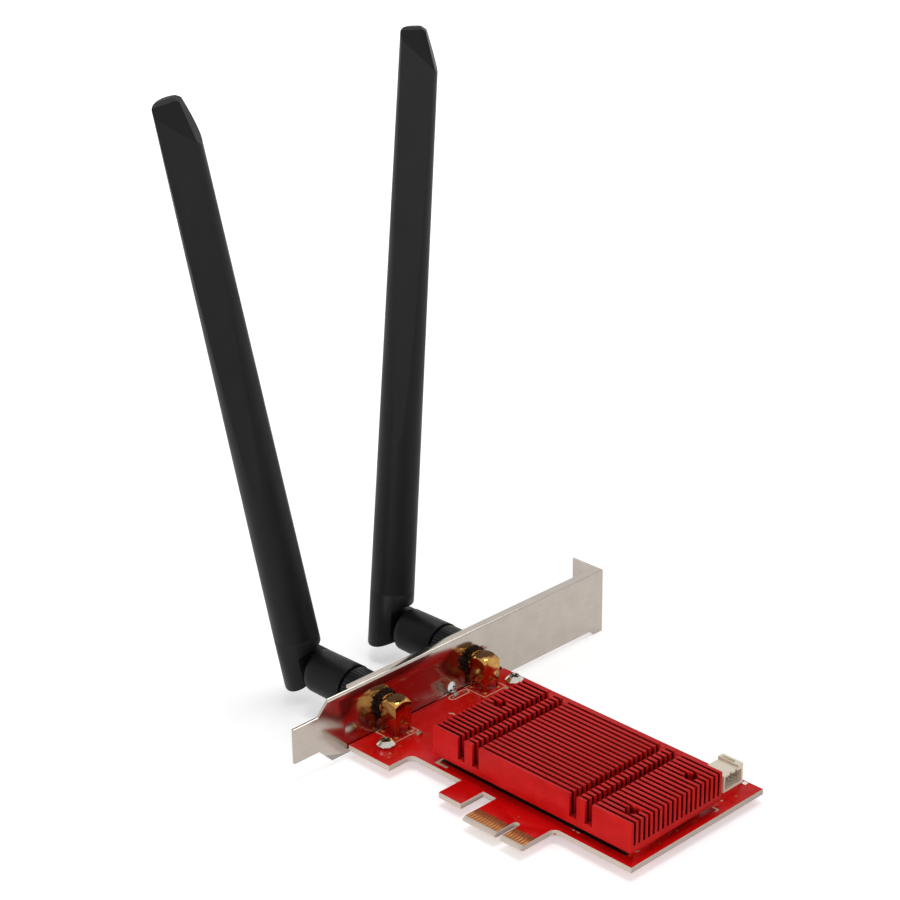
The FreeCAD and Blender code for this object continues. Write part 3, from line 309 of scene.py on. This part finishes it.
FINISH = {
    "circuit_board": MASK, "edge_contacts_top": CONTACT, "edge_contacts_under": CONTACT,
    "bracket": NICKEL, "bracket_screws": SCREW, "heatsink": ANODISED, "heatsink_spacers": BRASS,
    "heatsink_screws": SCREW, "radio_module_board": MODULE, "radio_module_shield": TIN,
    "thermal_pad": SILICONE, "board_capacitors": CERAMIC, "status_lamp": LENS,
    "lead_socket_housing": CREAM, "lead_socket_pins": PIN_TIN_IN_SHADE, "jack_body": BLOCK_GOLD,
    "jack_insulator": WHITE, "jack_contact": GOLD, "jack_washer": BLACKENED, "jack_nut": GOLD,
    "coupling_nut": KNURL, "plug_shell": GOLD, "plug_insulator": WHITE, "plug_contact": GOLD,
    "elbow": JOINT, "hinge_pin": BLACKENED, "knuckle": BLACK, "sleeve": BLACK, "radiator": MODULE,
}
EDGE = {
    "heatsink": 0.08, "circuit_board": 0.06, "bracket": 0.12, "knuckle": 0.16, "elbow": 0.3,
    "jack_body": 0.10, "coupling_nut": 0.06, "bracket_screws": 0.12,
}
WELD_WITHIN = 0.001
SHARP_FROM = math.radians(32)
ROUND_FROM = math.radians(28)
ROUND_STEPS = 2


def bevel(piece, width, steps, limit):
    edge = piece.modifiers.new("edge", "BEVEL")
    edge.width = width * MM
    edge.segments = steps
    edge.limit_method = limit
    edge.angle_limit = ROUND_FROM
    edge.use_clamp_overlap = True
    edge.harden_normals = True


def round_over(piece, width):
    piece.data.shade_smooth()
    bevel(piece, width, ROUND_STEPS, "ANGLE")


def dress(node):
    """Give a CAD node its finish and the small rounded edges that catch the light."""
    kind = node.name.removeprefix("left_").removeprefix("right_")
    node.data.materials.clear()
    node.data.materials.append(FINISH[kind].material)
    node.data.shade_smooth()
    weld = node.modifiers.new("weld", "WELD")
    weld.merge_threshold = WELD_WITHIN * MM
    if kind in EDGE:
        round_over(node, EDGE[kind])
    else:
        node.data.set_sharp_from_angle(angle=SHARP_FROM)


for node in nodes.values():
    dress(node)


# Shapes of the added pieces

PRINT_THICK = 0.03
SECTION = 4
CONE_SHARP_FROM = math.radians(40)
CELL_SIDES = {
    (-1, 0, 0): ((0, 0, 0), (0, 0, 1), (0, 1, 1), (0, 1, 0)),
    (1, 0, 0): ((1, 0, 0), (1, 1, 0), (1, 1, 1), (1, 0, 1)),
    (0, -1, 0): ((0, 0, 0), (1, 0, 0), (1, 0, 1), (0, 0, 1)),
    (0, 1, 0): ((0, 1, 0), (0, 1, 1), (1, 1, 1), (1, 1, 0)),
    (0, 0, -1): ((0, 0, 0), (0, 1, 0), (1, 1, 0), (1, 0, 0)),
    (0, 0, 1): ((0, 0, 1), (1, 0, 1), (1, 1, 1), (0, 1, 1)),
}


def add_object(name, mesh, finish):
    mesh.materials.append(finish.material)
    piece = bpy.data.objects.new(name, mesh)
    scene.collection.objects.link(piece)
    return piece


def add_mesh(name, points, faces, finish, body):
    mesh = bpy.data.meshes.new(name)
    mesh.from_pydata([tuple(c * MM for c in point) for point in points], [], faces)
    piece = add_object(name, mesh, finish)
    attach(piece, body)
    return piece


def around(count):
    return [i * math.tau / count for i in range(count)]


def tube(here, there):
    """Faces between two sections of four points, each given by its first point."""
    pairs = [(k, (k + 1) % SECTION) for k in range(SECTION)]
    return [(here + a, here + b, there + b, there + a) for a, b in pairs]


def ribbons(name, lines, width, finish, slot):
    """Thin raised lines on the board with mitred corners.

    A line that ends where it starts is a closed loop.
    """
    low, high = BOARD_HIGH.z - PRINT_THICK, BOARD_HIGH.z + PRINT_THICK
    points, faces = [], []
    for line in lines:
        closed = line[0] == line[-1]
        spots = [Vector(spot) for spot in (line[:-1] if closed else line)]
        count, first = len(spots), len(points)
        for i, spot in enumerate(spots):
            before, after = spots[i - 1], spots[(i + 1) % count]
            ahead = after - spot if closed or i < count - 1 else spot - before
            behind = spot - before if closed or i > 0 else ahead
            normals = [Vector((-way.y, way.x)).normalized() for way in (behind, ahead)]
            mitre = (normals[0] + normals[1]).normalized()
            mitre *= width / 2 / mitre.dot(normals[0])
            for sign, z in ((1, low), (-1, low), (-1, high), (1, high)):
                points.append((*(spot + mitre * sign), z))
        for i in range(count if closed else count - 1):
            faces += tube(first + SECTION * i, first + SECTION * ((i + 1) % count))
        if not closed:
            last = first + SECTION * (count - 1)
            faces += [(first + 3, first + 2, first + 1, first), (last, last + 1, last + 2, last + 3)]
    add_mesh(name, points, faces, finish, "card")


def loop(left, low, right, high):
    return [(left, low), (right, low), (right, high), (left, high), (left, low)]


def stadium(left, low, right, high, steps=6):
    """A rounded-end outline, longer along Y."""
    radius, middle = (right - left) / 2, (left + right) / 2
    corners = []
    for centre, start in ((high - radius, 0.0), (low + radius, math.pi)):
        for i in range(steps + 1):
            angle = start + math.pi * i / steps
            corners.append((middle + radius * math.cos(angle), centre + radius * math.sin(angle)))
    return [*corners, corners[0]]


def cones(name, spots, size, level, finish, sides=16):
    """Solder cones or plain discs that stand on one face of the board.

    The size is the radius on the board, the radius at the other end and the rise.
    """
    base, tip, rise = size
    points, faces = [], []
    for x, y in spots:
        first = len(points)
        for radius, z in ((base, level), (tip, level + rise)):
            points += [(x + radius * math.cos(a), y + radius * math.sin(a), z) for a in around(sides)]
        low = [first + i for i in range(sides)]
        high = [first + sides + i for i in range(sides)]
        skin = [low[::-1], high]
        for i in range(sides):
            j = (i + 1) % sides
            skin.append((low[i], low[j], high[j], high[i]))
        faces += skin if rise > 0 else [face[::-1] for face in skin]
    piece = add_mesh(name, points, faces, finish, "card")
    piece.data.shade_smooth()
    piece.data.set_sharp_from_angle(angle=CONE_SHARP_FROM)


def cells(name, xs, ys, zs, solid, finish, body, edge):
    """A closed body of the box cells between the given planes in whose middle solid(x, y, z) holds."""
    planes = (xs, ys, zs)

    def filled(cell):
        if not all(0 <= i < len(row) - 1 for i, row in zip(cell, planes)):
            return False
        return solid(*((row[i] + row[i + 1]) / 2 for i, row in zip(cell, planes)))

    index, points, faces = {}, [], []
    for cell in itertools.product(*(range(len(row) - 1) for row in planes)):
        if not filled(cell):
            continue
        for step, ring in CELL_SIDES.items():
            if filled([i + n for i, n in zip(cell, step)]):
                continue
            face = []
            for offset in ring:
                corner = tuple(i + n for i, n in zip(cell, offset))
                if corner not in index:
                    index[corner] = len(points)
                    points.append(tuple(row[i] for i, row in zip(corner, planes)))
                face.append(index[corner])
            faces.append(face)
    piece = add_mesh(name, points, faces, finish, body)
    round_over(piece, edge)
    return piece


# Jacks

JACK_BLOCK = 5.8
BLOCK_UNDER = 3.45
LEG_PITCH = 5.08
FOOT_TOP, FOOT_TIP, FOOT_DROP = 1.8, 0.8, 1.0
FOOT_INSET, FOOT_SUNK = 0.03, 0.05
FOOT_FACES = ((3, 2, 1, 0), (4, 5, 6, 7), *tube(0, SECTION))
WASHER_TEETH, TOOTH_STEPS = 16, 4
WASHER_THICK = 0.9
WASHER_BORE, WASHER_ROOT, WASHER_TIP = 3.25, 3.55, 3.95
OUTLINE_START, OUTLINE_REACH, OUTLINE_HALF = 0.15, 4.25, 4.3
FINE_LINE = 0.2
TOP_SOLDER = (0.62, 0.42, 0.22)
UNDER_SOLDER = (0.95, 0.42, -0.8)


def jack_place(side):
    """Middle of a jack's block, seen from above."""
    low, high = in_mm(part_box(side + "_jack_body"))
    return high.x - JACK_BLOCK / 2, (low.y + high.y) / 2


def feet(name, x, y):
    """The four tapered corners on which a jack's block stands above its legs."""
    points, faces = [], []
    half = JACK_BLOCK / 2 - FOOT_INSET
    for i, j in ((1, 1), (-1, 1), (-1, -1), (1, -1)):
        first = len(points)
        for size, z in ((FOOT_TIP, BLOCK_UNDER - FOOT_DROP), (FOOT_TOP, BLOCK_UNDER + FOOT_SUNK)):
            inner = half - size
            ring = [(half, half), (inner, half), (inner, inner), (half, inner)]
            points += [(x + i * dx, y + j * dy, z) for dx, dy in ring]
        skin = [tuple(first + k for k in face) for face in FOOT_FACES]
        faces += skin if i * j > 0 else [face[::-1] for face in skin]
    add_mesh(name, points, faces, GOLD, "card")


def washer(side):
    """Toothed ring that stands for a jack's washer, between block and bracket."""
    low, high = in_mm(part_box(side + "_jack_washer"))
    y, z = (low.y + high.y) / 2, (low.z + high.z) / 2
    near, far = low.x, low.x + WASHER_THICK
    count = TOOTH_STEPS * WASHER_TEETH
    points, faces = [], []
    for i, angle in enumerate(around(count)):
        outer = WASHER_TIP if i % TOOTH_STEPS < TOOTH_STEPS / 2 else WASHER_ROOT
        for radius, x in ((WASHER_BORE, near), (outer, near), (outer, far), (WASHER_BORE, far)):
            points.append((x, y + radius * math.cos(angle), z + radius * math.sin(angle)))
        faces += tube(SECTION * i, SECTION * ((i + 1) % count))
    piece = add_mesh(side + "_tooth_ring", points, faces, BLACKENED, "card")
    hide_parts(side + "_jack_washer")


for side in SIDES:
    x, y = jack_place(side)
    outline = loop(BOARD_LOW.x + OUTLINE_START, y - OUTLINE_HALF, x + OUTLINE_REACH, y + OUTLINE_HALF)
    ribbons(side + "_jack_outline", [outline], FINE_LINE, SILK, "board_mask")
    washer(side)
    feet(side + "_jack_feet", x, y)
    legs = [(x + i * LEG_PITCH / 2, y + j * LEG_PITCH / 2) for i in (-1, 1) for j in (-1, 1)]
    cones(side + "_jack_solder_top", legs, TOP_SOLDER, BOARD_HIGH.z, CONTACT)
    cones(side + "_jack_solder_under", legs, UNDER_SOLDER, BOARD_LOW.z, TIN)


# Printed lines, pads and solder on the board

PIN_COUNT, PIN_HALF = 4, 0.25
SOCKET_SOLDER = (0.6, 0.34, -0.5)
LABEL_BOX = [(-51.3, 19.3), (-52.6, 19.3), (-52.6, 22.2)]
LABEL_DASH = [(-51.95, 20.2), (-51.95, 21.6)]
LAMP_OUTLINE = stadium(-58.3, 40.2, -56.2, 47.2)
LAMP_MARKS = [[(-57.25, 41.0), (-57.25, 42.0)], [(-57.25, 45.4), (-57.25, 46.4)]]
SINK_CORNER = [(-35.7, 16.6), (-35.7, 14.1), (-31.8, 14.1)]
SHORT_MARKS = (
    ((-51.9, 34.5), (-50.9, 35.2), (-48.6, 34.7)), ((30.2, 47.5), (31.9, 47.6), (32.0, 46.4)),
    ((29.3, 50.6), (29.9, 51.8)), ((29.2, 17.7), (30.1, 19.3)), ((-20.2, 16.2), (-18.2, 16.1)),
    ((11.8, 15.0), (12.5, 15.0)), ((13.2, 15.0), (14.2, 15.0)),
)
CORNER_PAD = [(28.6, 61.7), (28.6, 63.0)]
# name, lines, width, finish and slot
PRINTS = (
    ("jack_label_box", [LABEL_BOX, LABEL_DASH], FINE_LINE, SILK, "board_mask"),
    ("lamp_outline", [LAMP_OUTLINE], 0.28, SILK, "board_mask"),
    ("lamp_marks", LAMP_MARKS, 0.6, TIN, "pin_tin"),
    ("sink_corner_marks", [SINK_CORNER], 0.8, SILK, "board_mask"),
    ("short_marks", SHORT_MARKS, 0.42, SILK, "board_mask"),
    ("corner_pad", [CORNER_PAD], 1.3, TIN, "pin_tin"),
)
VIAS = (
    (-46.6, 7.1), (-48.0, 8.7), (-48.9, 13.2), (-44.5, 22.4), (-43.2, 30.6), (-45.1, 39.8),
    (-41.4, 52.5), (-47.2, 57.3), (10.0, 10.4), (-2.0, 10.0), (31.2, 25.5), (30.6, 33.0),
    (31.0, 55.8),
)
VIA_SIZE, VIA_SUNK, VIA_SIDES = (0.34, 0.30, 0.05), 0.02, 12

pins_low, pins_high = in_mm(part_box("lead_socket_pins"))
pin_step = (pins_high.y - pins_low.y - 2 * PIN_HALF) / (PIN_COUNT - 1)
tails = [(pins_low.x + PIN_HALF, pins_low.y + PIN_HALF + i * pin_step) for i in range(PIN_COUNT)]
cones("socket_solder", tails, SOCKET_SOLDER, BOARD_LOW.z, TIN)
for print_row in PRINTS:
    ribbons(*print_row)
cones("vias", VIAS, VIA_SIZE, BOARD_HIGH.z - VIA_SUNK, CONTACT, VIA_SIDES)


# Lead socket, and a dark sheet of painted shade under the heatsink

SHROUD_WALL, SHROUD_ROUND = 0.65, 0.12
CAVITY_DEEP = 5.2
RIDGE_HIGH, RIDGE_WIDE, RIDGE_LIP = 0.9, 2.0, 0.35
SLIT_WIDE, SLIT_START, SLIT_END = 0.85, 0.8, 1.9
NOTCH_WIDE, NOTCH_LONG = 0.8, 0.5
SHADE_SHEET_INSET, SHADE_SHEET_THICK, SHADE_SHEET_ROUND = 1.4, 0.06, 0.02


def between(value, low, high):
    return low < value < high


def socket_housing():
    """Cream shroud, open towards the board's end, with two key notches and a slotted ridge on top."""
    low, high = in_mm(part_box("lead_socket_housing"))
    top = high.z - RIDGE_HIGH
    mouth = high.x - CAVITY_DEEP
    inner_low, inner_high = low.y + SHROUD_WALL, high.y - SHROUD_WALL
    floor, roof = low.z + SHROUD_WALL, top - SHROUD_WALL
    ridge = high.y - RIDGE_WIDE
    slit = (ridge + RIDGE_LIP, ridge + RIDGE_LIP + SLIT_WIDE)
    slit_run = (low.x + SLIT_START, high.x - SLIT_END)
    third = (inner_high - inner_low) / 3
    middles = (inner_low + third, inner_low + 2 * third)
    notches = [(middle - NOTCH_WIDE / 2, middle + NOTCH_WIDE / 2) for middle in middles]
    notch_start = high.x - NOTCH_LONG

    def solid(x, y, z):
        if z > top:
            return y > ridge and not (between(y, *slit) and between(x, *slit_run))
        if x > mouth and between(y, inner_low, inner_high) and between(z, floor, roof):
            return False
        return not (x > notch_start and z > roof and any(between(y, *notch) for notch in notches))

    xs = sorted({low.x, mouth, notch_start, *slit_run, high.x})
    ys = sorted({low.y, inner_low, inner_high, ridge, *slit, *notches[0], *notches[1], high.y})
    zs = sorted({low.z, floor, roof, top, high.z})
    piece = cells("socket_shroud", xs, ys, zs, solid, CREAM, "card", SHROUD_ROUND)
    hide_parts("lead_socket_housing")


# a thin dark sheet of painted shade on the board, inset under the heatsink's edges
def film():
    xs = [SINK_LOW.x + SHADE_SHEET_INSET, SINK_HIGH.x - 2 * SHADE_SHEET_INSET]
    ys = [SINK_LOW.y + SHADE_SHEET_INSET, SINK_HIGH.y - SHADE_SHEET_INSET]
    zs = [BOARD_HIGH.z, BOARD_HIGH.z + SHADE_SHEET_THICK]
    cells("painted_shade_sheet", xs, ys, zs, lambda x, y, z: True, SHADE_SHEET, "card", SHADE_SHEET_ROUND)


socket_housing()
film()


# Blades with smooth sides, the long flat and soft edges at the tip

SLEEVE_STEPS = 96
SEAM_HIGH, BLADE_TIP = 10.2, 170.3
BLADE_RADIUS, TIP_RADIUS = 6.3, 5.17
FLAT_START, FLAT_TIP = 45.0, 2.5
CUT_TURN = math.radians(-58.8)
# two oblique cuts, each with a lesser one that softens its upper edge:
# direction, height on the axis and slope
TIP_CUTS = (
    (0, 172.7, 2.65), (0, 170.1, 0.692), (CUT_TURN, 167.37, 1.54), (CUT_TURN, 168.83, 0.543),
)
CUT_WITHIN = 1e-6
CROWN_ROUND, CROWN_STEPS = 1.3, 8
# half width, half thickness and height of each ring in the hollow
SLEEVE_HOLLOW = ((5.0, 5.0, SEAM_HIGH), (5.0, 5.0, 18.2), (4.6, 3.7, 18.2), (3.9, 1.6, 156.3))
TIP_ROUND, SEAM_ROUND, TIP_STEPS = 0.8, 0.22, 3
SOFT_FROM = math.radians(12)
UPWARD = 0.2
BLADE_X = -93.0
BLADE_TURN = math.radians(40.0)
BLADE_LEAN = {"left": math.radians(11.73), "right": math.radians(-5.14)}


def join(form, low, high):
    """Faces between two rings of equal count, facing away from the axis when high is above low."""
    for i in range(len(low)):
        j = (i + 1) % len(low)
        form.faces.new((low[i], low[j], high[j], high[i]))


def turned_cone(form):
    """A closed cone with a rounded upper edge."""
    profile = [(BLADE_RADIUS, SEAM_HIGH)]
    for i in range(CROWN_STEPS + 1):
        a = i * math.pi / 2 / CROWN_STEPS
        inward, down = CROWN_ROUND * (1 - math.cos(a)), CROWN_ROUND * (1 - math.sin(a))
        profile.append((TIP_RADIUS - inward, BLADE_TIP - down))
    turns = around(SLEEVE_STEPS)
    rings = [[form.verts.new((r * math.cos(a), r * math.sin(a), z)) for a in turns] for r, z in profile]
    for low, high in zip(rings, rings[1:]):
        join(form, low, high)
    form.faces.new(rings[0][::-1])
    form.faces.new(rings[-1])
    form.normal_update()


def cut_away(form, point, normal):
    """Cut a closed form by a plane and close it again."""
    everything = form.verts[:] + form.edges[:] + form.faces[:]
    cut = bmesh.ops.bisect_plane(form, geom=everything, dist=CUT_WITHIN, plane_co=point,
                                 plane_no=normal, clear_outer=True)
    rim = [item for item in cut["geom_cut"] if isinstance(item, bmesh.types.BMEdge)]
    bmesh.ops.contextual_create(form, geom=rim)


def soften(form):
    """Mark the edges to be rounded, and keep the flat's faint lower edge crisp."""
    weight = form.edges.layers.float.new("bevel_weight_edge")
    for edge in form.edges:
        if edge.calc_face_angle(0) >= SOFT_FROM:
            at_tip = any(face.normal.z > UPWARD for face in edge.link_faces)
            edge[weight] = 1.0 if at_tip else SEAM_ROUND / TIP_ROUND
    upright = [face for face in form.faces if abs(face.normal.z) < UPWARD]
    flat = max(upright, key=lambda face: face.calc_area())
    for edge in flat.edges:
        edge.smooth = edge[weight] > 0


def hollow_out(form):
    """Turn the form's lower face into the sleeve's mouth and hollow."""
    floor = min(form.faces, key=lambda face: face.normal.z)
    rim = sorted(floor.verts, key=lambda corner: math.atan2(corner.co.y, corner.co.x))
    angles = [math.atan2(corner.co.y, corner.co.x) for corner in rim]
    form.faces.remove(floor)
    for wide, thick, height in SLEEVE_HOLLOW:
        ring = [form.verts.new((wide * math.cos(a), thick * math.sin(a), height)) for a in angles]
        join(form, ring, rim)
        rim = ring
    form.faces.new(rim[::-1])


def blade(side):
    """Sleeve of one aerial: a cone with a long flat and two oblique cuts at the tip."""
    form = bmesh.new()
    turned_cone(form)
    rise = (BLADE_RADIUS - FLAT_TIP) / (BLADE_TIP - FLAT_START)
    cut_away(form, (0, -BLADE_RADIUS, FLAT_START), (0, -1, rise))
    for turn, height, slope in TIP_CUTS:
        cut_away(form, (0, 0, height), (slope * math.cos(turn), slope * math.sin(turn), 1))
    bmesh.ops.recalc_face_normals(form, faces=form.faces[:])
    soften(form)
    hollow_out(form)
    nut_low, nut_high = in_mm(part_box(side + "_coupling_nut"))
    seat = Vector((BLADE_X, (nut_low.y + nut_high.y) / 2, (nut_low.z + nut_high.z) / 2))
    lean, turn = Matrix.Rotation(BLADE_LEAN[side], 4, "X"), Matrix.Rotation(BLADE_TURN, 4, "Z")
    form.transform(Matrix.Scale(MM, 4) @ Matrix.Translation(seat) @ lean @ turn)
    for face in form.faces:
        face.smooth = True
    name = side + "_blade_sleeve"
    mesh = bpy.data.meshes.new(name)
    form.to_mesh(mesh)
    form.free()
    piece = add_object(name, mesh, BLACK)
    bevel(piece, TIP_ROUND, TIP_STEPS, "WEIGHT")
    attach(piece, side + "_blade")
    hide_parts(side + "_sleeve")


for side in SIDES:
    blade(side)


# Stage, light and camera

PAPER = (0.80, 0.80, 0.80), (0.83, 0.83, 0.83)
PAPER_CLOUD, PAPER_ROUGH = (400, 400, 400), 0.9
FLOOR_HALF = 12.0
# the floor's own glow in the picture, by the distance from the part
FLOOR_REACH, FLOOR_GLOW = (0.2, 1.0), (0.47, 0.76)
WHITE_LIGHT = (1.0, 1.0, 1.0, 1.0)
WORLD_LIGHT = 0.30
AIM = (-0.03, 0.04, 0.03)
# name, place, width, height and power
LAMPS = (
    ("key", (0.10, -1.10, 0.20), 0.9, 0.3, 8.5),
    ("fill", (1.10, 0.02, 0.30), 0.7, 0.4, 2.6),
    ("top", (0.00, 0.10, 1.15), 0.4, 0.4, 3.6),
    ("back", (-0.70, 0.62, 0.95), 0.5, 0.4, 2.2),
)
CAMERA_SPOT = (0.36762, -0.37596, 0.33561)
CAMERA_TURN = (66.3857, 0.6009, 45.2516)


def area(name, spot, wide, high, power):
    light = bpy.data.lights.new(name, "AREA")
    light.shape = "RECTANGLE"
    light.size = wide
    light.size_y = high
    light.energy = power
    lamp = bpy.data.objects.new(name, light)
    lamp.location = spot
    lamp.rotation_euler = (Vector(AIM) - Vector(spot)).to_track_quat("-Z", "Y").to_euler()
    scene.collection.objects.link(lamp)


def seen(tree):
    """1 for rays that show the background in the picture or in a reflection, 0 for all others."""
    light_path = tree.nodes.new("ShaderNodeLightPath")
    total = light_path.outputs["Is Camera Ray"]
    for name in ("Is Glossy Ray", "Is Transmission Ray"):
        widest = tree.nodes.new("ShaderNodeMath")
        widest.operation = "MAXIMUM"
        tree.links.new(total, widest.inputs[0])
        tree.links.new(light_path.outputs[name], widest.inputs[1])
        total = widest.outputs[0]
    return total


def floor_plane(level):
    corners = [(x, y, level) for x, y in loop(-FLOOR_HALF, -FLOOR_HALF, FLOOR_HALF, FLOOR_HALF)[:-1]]
    mesh = bpy.data.meshes.new("floor")
    mesh.from_pydata(corners, [], [(0, 1, 2, 3)])
    m = Shader("floor_paper")
    m.set(Base_Color=m.mix(m.noise(*PAPER_CLOUD), *PAPER), Roughness=PAPER_ROUGH)
    away = m.add("ShaderNodeVectorMath", {"operation": "LENGTH"})
    m.put(away.inputs[0], m.place)
    glow = m.remap(away.outputs["Value"], *FLOOR_REACH, *FLOOR_GLOW)
    m.set(Emission_Color=WHITE_LIGHT, Emission_Strength=m.math("MULTIPLY", seen(m.tree), glow))
    plane = add_object("floor", mesh, m)


def white_world():
    world = bpy.data.worlds.new("studio")
    world.use_nodes = True
    scene.world = world
    tree = world.node_tree
    tree.nodes.clear()
    choose = tree.nodes.new("ShaderNodeMixShader")
    tree.links.new(seen(tree), choose.inputs[0])
    for i, strength in enumerate((WORLD_LIGHT, 1.0), start=1):
        light = tree.nodes.new("ShaderNodeBackground")
        light.inputs["Color"].default_value = WHITE_LIGHT
        light.inputs["Strength"].default_value = strength
        tree.links.new(light.outputs[0], choose.inputs[i])
    out = tree.nodes.new("ShaderNodeOutputWorld")
    tree.links.new(choose.outputs[0], out.inputs[0])


floor_plane(cad_bounds[0][2])
white_world()
for lamp_row in LAMPS:
    area(*lamp_row)

camera = bpy.data.objects.new("camera", bpy.data.cameras.new("camera"))
camera.data.sensor_width = 36.0
camera.data.lens = 98.704
camera.data.clip_start = 0.01
camera.data.clip_end = 20.0
camera.location = CAMERA_SPOT
camera.rotation_euler = Euler([math.radians(angle) for angle in CAMERA_TURN])
scene.collection.objects.link(camera)
scene.camera = camera
scene.view_settings.view_transform = "Standard"
